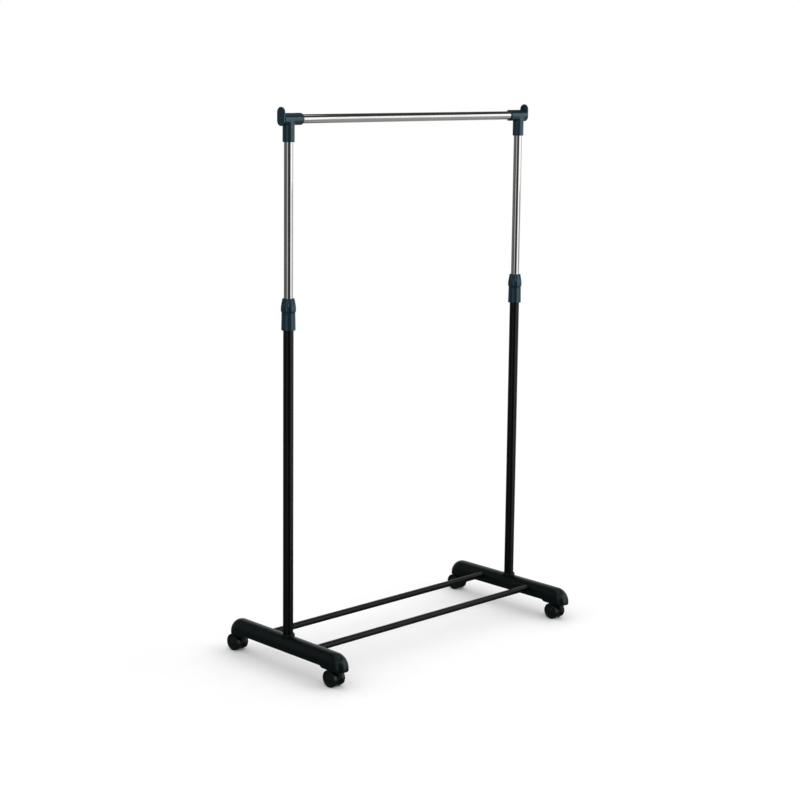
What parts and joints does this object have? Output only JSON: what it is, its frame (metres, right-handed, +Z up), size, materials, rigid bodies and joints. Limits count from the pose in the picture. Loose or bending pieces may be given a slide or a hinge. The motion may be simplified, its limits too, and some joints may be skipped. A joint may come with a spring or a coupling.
{
  "type": "garment rack",
  "caption": "Straight single-rail garment rack with telescoping uprights, twist-lock collars, moulded feet, twin-wheel castors and two low crossbars.",
  "frame": {"origin": "on the floor, in the middle of the rack's box", "axes": "+X along the hanging rail to the right-hand pole, -Y towards the front, +Z up; the castors trail towards +Y"},
  "size_m": [0.8402, 0.427, 1.3585],
  "materials": {
    "black_plastic": "moulded black plastic with a fine satin texture",
    "black_paint": "satin black powder coat on steel tube",
    "slate_plastic": "slate blue-grey moulded plastic, satin",
    "chrome": "bright chrome plate on steel tube",
    "wheel_plastic": "black nylon wheel, lightly worn tread",
    "natural_plastic": "unpigmented nylon",
    "zinc_steel": "bright zinc plate"
  },
  "bodies": {
    "base": {"foot_left": "black_plastic", "lower_pole_left": "black_paint", "pole_insert_left": "natural_plastic", "pole_screw_left": "zinc_steel", "collar_sleeve_left": "slate_plastic", "collar_collet_left": "natural_plastic", "foot_right": "black_plastic", "lower_pole_right": "black_paint", "pole_insert_right": "natural_plastic", "pole_screw_right": "zinc_steel", "collar_sleeve_right": "slate_plastic", "collar_collet_right": "natural_plastic", "crossbar_front": "black_paint", "crossbar_plug_front_left": "natural_plastic", "crossbar_plug_front_right": "natural_plastic", "crossbar_rear": "black_paint", "crossbar_plug_rear_left": "natural_plastic", "crossbar_plug_rear_right": "natural_plastic", "castor_socket_front_left": "natural_plastic", "castor_stem_front_left": "zinc_steel", "castor_socket_front_right": "natural_plastic", "castor_stem_front_right": "zinc_steel", "castor_socket_rear_left": "natural_plastic", "castor_stem_rear_left": "zinc_steel", "castor_socket_rear_right": "natural_plastic", "castor_stem_rear_right": "zinc_steel"},
    "upper_frame": {"upper_pole_left": "chrome", "guide_bush_left": "natural_plastic", "rail_connector_left": "slate_plastic", "upper_pole_right": "chrome", "guide_bush_right": "natural_plastic", "rail_connector_right": "slate_plastic", "top_rail": "chrome"},
    "collar_nut_left": {"collar_nut_left": "slate_plastic"},
    "collar_nut_right": {"collar_nut_right": "slate_plastic"},
    "castor_front_left": {"castor_housing_front_left": "black_plastic", "castor_axle_front_left": "zinc_steel"},
    "wheel_front_left_left": {"castor_wheel_front_left_left": "wheel_plastic"},
    "wheel_front_left_right": {"castor_wheel_front_left_right": "wheel_plastic"},
    "castor_front_right": {"castor_housing_front_right": "black_plastic", "castor_axle_front_right": "zinc_steel"},
    "wheel_front_right_left": {"castor_wheel_front_right_left": "wheel_plastic"},
    "wheel_front_right_right": {"castor_wheel_front_right_right": "wheel_plastic"},
    "castor_rear_left": {"castor_housing_rear_left": "black_plastic", "castor_axle_rear_left": "zinc_steel"},
    "wheel_rear_left_left": {"castor_wheel_rear_left_left": "wheel_plastic"},
    "wheel_rear_left_right": {"castor_wheel_rear_left_right": "wheel_plastic"},
    "castor_rear_right": {"castor_housing_rear_right": "black_plastic", "castor_axle_rear_right": "zinc_steel"},
    "wheel_rear_right_left": {"castor_wheel_rear_right_left": "wheel_plastic"},
    "wheel_rear_right_right": {"castor_wheel_rear_right_right": "wheel_plastic"}
  },
  "joints": [
    {"name": "height_slide", "type": "slide", "parent": "base", "child": "upper_frame", "axis": [0, 0, 1], "range_m": [-0.36, 0.3]},
    {"name": "collar_twist_left", "type": "hinge", "parent": "base", "child": "collar_nut_left", "pos_m": [-0.395, -0.0035, 0.874], "axis": [0, 0, 1], "range_deg": [0, 150]},
    {"name": "collar_twist_right", "type": "hinge", "parent": "base", "child": "collar_nut_right", "pos_m": [0.395, -0.0035, 0.874], "axis": [0, 0, 1], "range_deg": [0, 150]},
    {"name": "swivel_front_left", "type": "hinge", "parent": "base", "child": "castor_front_left", "pos_m": [-0.395, -0.1855, 0.0466], "axis": [0, 0, 1], "continuous": true},
    {"name": "roll_front_left_left", "type": "hinge", "parent": "castor_front_left", "child": "wheel_front_left_left", "pos_m": [-0.395, -0.1715, 0.021], "axis": [1, 0, 0], "continuous": true},
    {"name": "roll_front_left_right", "type": "hinge", "parent": "castor_front_left", "child": "wheel_front_left_right", "pos_m": [-0.395, -0.1715, 0.021], "axis": [1, 0, 0], "continuous": true},
    {"name": "swivel_front_right", "type": "hinge", "parent": "base", "child": "castor_front_right", "pos_m": [0.395, -0.1855, 0.0466], "axis": [0, 0, 1], "continuous": true},
    {"name": "roll_front_right_left", "type": "hinge", "parent": "castor_front_right", "child": "wheel_front_right_left", "pos_m": [0.395, -0.1715, 0.021], "axis": [1, 0, 0], "continuous": true},
    {"name": "roll_front_right_right", "type": "hinge", "parent": "castor_front_right", "child": "wheel_front_right_right", "pos_m": [0.395, -0.1715, 0.021], "axis": [1, 0, 0], "continuous": true},
    {"name": "swivel_rear_left", "type": "hinge", "parent": "base", "child": "castor_rear_left", "pos_m": [-0.395, 0.1785, 0.0466], "axis": [0, 0, 1], "continuous": true},
    {"name": "roll_rear_left_left", "type": "hinge", "parent": "castor_rear_left", "child": "wheel_rear_left_left", "pos_m": [-0.395, 0.1925, 0.021], "axis": [1, 0, 0], "continuous": true},
    {"name": "roll_rear_left_right", "type": "hinge", "parent": "castor_rear_left", "child": "wheel_rear_left_right", "pos_m": [-0.395, 0.1925, 0.021], "axis": [1, 0, 0], "continuous": true},
    {"name": "swivel_rear_right", "type": "hinge", "parent": "base", "child": "castor_rear_right", "pos_m": [0.395, 0.1785, 0.0466], "axis": [0, 0, 1], "continuous": true},
    {"name": "roll_rear_right_left", "type": "hinge", "parent": "castor_rear_right", "child": "wheel_rear_right_left", "pos_m": [0.395, 0.1925, 0.021], "axis": [1, 0, 0], "continuous": true},
    {"name": "roll_rear_right_right", "type": "hinge", "parent": "castor_rear_right", "child": "wheel_rear_right_right", "pos_m": [0.395, 0.1925, 0.021], "axis": [1, 0, 0], "continuous": true}
  ]
}
